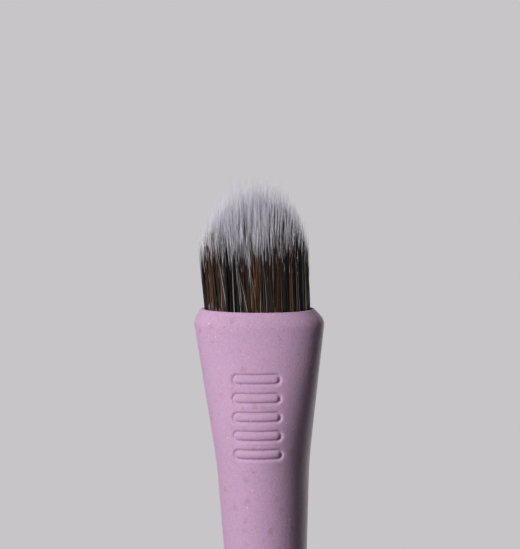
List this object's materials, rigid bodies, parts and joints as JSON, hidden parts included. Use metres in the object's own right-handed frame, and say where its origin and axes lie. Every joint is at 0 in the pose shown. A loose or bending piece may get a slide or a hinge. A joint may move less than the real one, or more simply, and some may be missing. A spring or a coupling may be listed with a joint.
{
  "type": "concealer brush",
  "caption": "Concealer brush: a slim moulded handle with a flared oval head that holds a short, flat, domed tuft of two-tone filaments.",
  "frame": {"origin": "centre of the small flat on the handle's tail end", "axes": "+Z along the brush's axis from the tail to the tuft's tip; -Y is the front of the head, with the thumb grip"},
  "size_m": [0.0122, 0.0098, 0.1504],
  "materials": {
    "handle_composite": "satin lilac plant-fibre composite with fine brown flecks",
    "ferrule_aluminium": "bare spun aluminium",
    "root_resin": "set amber resin",
    "socket_glue": "set off-white adhesive",
    "tuft_filament": "fine synthetic filaments, near-black and brown at the base and white at the tips"
  },
  "bodies": {
    "root": {"handle": "handle_composite", "socket_adhesive": "socket_glue", "inner_ferrule": "ferrule_aluminium", "root_plug": "root_resin", "tuft_core": "tuft_filament", "tuft_inner_ring": "tuft_filament", "tuft_middle_ring": "tuft_filament", "tuft_outer_ring": "tuft_filament"}
  },
  "joints": []
}
